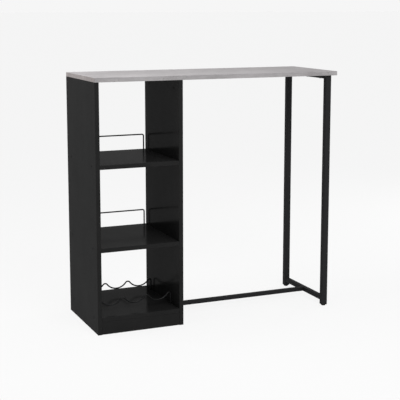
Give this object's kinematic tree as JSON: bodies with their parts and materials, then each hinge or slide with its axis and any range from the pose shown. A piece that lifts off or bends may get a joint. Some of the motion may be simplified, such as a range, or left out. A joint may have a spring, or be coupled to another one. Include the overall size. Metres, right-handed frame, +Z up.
{
  "type": "breakfast bar table",
  "caption": "Bar-height breakfast table with a concrete-look top on an open shelf unit with wire bottle cradle at one end and a black steel leg frame with foot bar at the other.",
  "frame": {"origin": "on the floor under the middle of the top, midway along its length and its depth", "axes": "+X along the top towards the leg frame, -Y towards the front, +Z up"},
  "size_m": [1.1, 0.4, 1.05],
  "materials": {
    "concrete_laminate": "matt concrete-look laminate on board, mottled grey",
    "black_melamine": "satin black melamine on board",
    "black_powder_coat": "fine black powder coat on square steel tube",
    "black_wire_coat": "smooth black coating on round steel wire",
    "black_plastic": "moulded black plastic",
    "black_oxide_steel": "blackened steel",
    "zinc_steel": "zinc-plated steel",
    "beech": "plain beech"
  },
  "bodies": {
    "table": {"bottom_crossbar": "black_powder_coat", "bottom_shelf": "black_melamine", "bottom_shelf_screw_left_front": "black_oxide_steel", "bottom_shelf_screw_left_rear": "black_oxide_steel", "bottom_shelf_screw_right_front": "black_oxide_steel", "bottom_shelf_screw_right_rear": "black_oxide_steel", "foot_bar": "black_powder_coat", "foot_bar_frame_bolt": "black_oxide_steel", "foot_bar_frame_plug": "black_oxide_steel", "foot_bar_panel_bolt": "black_oxide_steel", "foot_bar_panel_plug": "black_oxide_steel", "front_bottle_wire": "black_wire_coat", "front_leg": "black_powder_coat", "front_leg_insert": "black_plastic", "front_plinth": "black_melamine", "front_plinth_dowel_left": "beech", "front_plinth_dowel_right": "beech", "left_side_panel": "black_melamine", "left_top_cam_bolt_front": "zinc_steel", "left_top_cam_bolt_rear": "zinc_steel", "left_top_cam_front": "black_plastic", "left_top_cam_rear": "black_plastic", "middle_guard_rail": "black_wire_coat", "middle_shelf": "black_melamine", "middle_shelf_screw_left_front": "black_oxide_steel", "middle_shelf_screw_left_rear": "black_oxide_steel", "middle_shelf_screw_right_front": "black_oxide_steel", "middle_shelf_screw_right_rear": "black_oxide_steel", "rear_bottle_wire": "black_wire_coat", "rear_leg": "black_powder_coat", "rear_leg_insert": "black_plastic", "rear_plinth": "black_melamine", "rear_plinth_dowel_left": "beech", "rear_plinth_dowel_right": "beech", "right_side_panel": "black_melamine", "right_top_cam_bolt_front": "zinc_steel", "right_top_cam_bolt_rear": "zinc_steel", "right_top_cam_front": "black_plastic", "right_top_cam_rear": "black_plastic", "tabletop": "concrete_laminate", "top_bar_screw_front": "zinc_steel", "top_bar_screw_middle": "zinc_steel", "top_bar_screw_rear": "zinc_steel", "top_crossbar": "black_powder_coat", "upper_guard_rail": "black_wire_coat", "upper_shelf": "black_melamine", "upper_shelf_screw_left_front": "black_oxide_steel", "upper_shelf_screw_left_rear": "black_oxide_steel", "upper_shelf_screw_right_front": "black_oxide_steel", "upper_shelf_screw_right_rear": "black_oxide_steel"},
    "front_foot_stud": {"front_foot_stud": "zinc_steel"},
    "front_foot_base": {"front_foot_base": "black_plastic"},
    "rear_foot_stud": {"rear_foot_stud": "zinc_steel"},
    "rear_foot_base": {"rear_foot_base": "black_plastic"}
  },
  "joints": [
    {"name": "front_foot_travel", "type": "slide", "parent": "table", "child": "front_foot_stud", "axis": [0, 0, -1], "range_m": [0, 0.01]},
    {"name": "front_foot_turn", "type": "hinge", "parent": "front_foot_stud", "child": "front_foot_base", "pos_m": [0.5145, -0.178, 0], "axis": [0, 0, -1], "range_deg": [0, 3600]},
    {"name": "rear_foot_travel", "type": "slide", "parent": "table", "child": "rear_foot_stud", "axis": [0, 0, -1], "range_m": [0, 0.01]},
    {"name": "rear_foot_turn", "type": "hinge", "parent": "rear_foot_stud", "child": "rear_foot_base", "pos_m": [0.5145, 0.178, 0], "axis": [0, 0, -1], "range_deg": [0, 3600]}
  ],
  "couplings": [
    {"joint": "front_foot_travel", "follows": "front_foot_turn", "m_per_rad": 0.000159},
    {"joint": "rear_foot_travel", "follows": "rear_foot_turn", "m_per_rad": 0.000159}
  ]
}
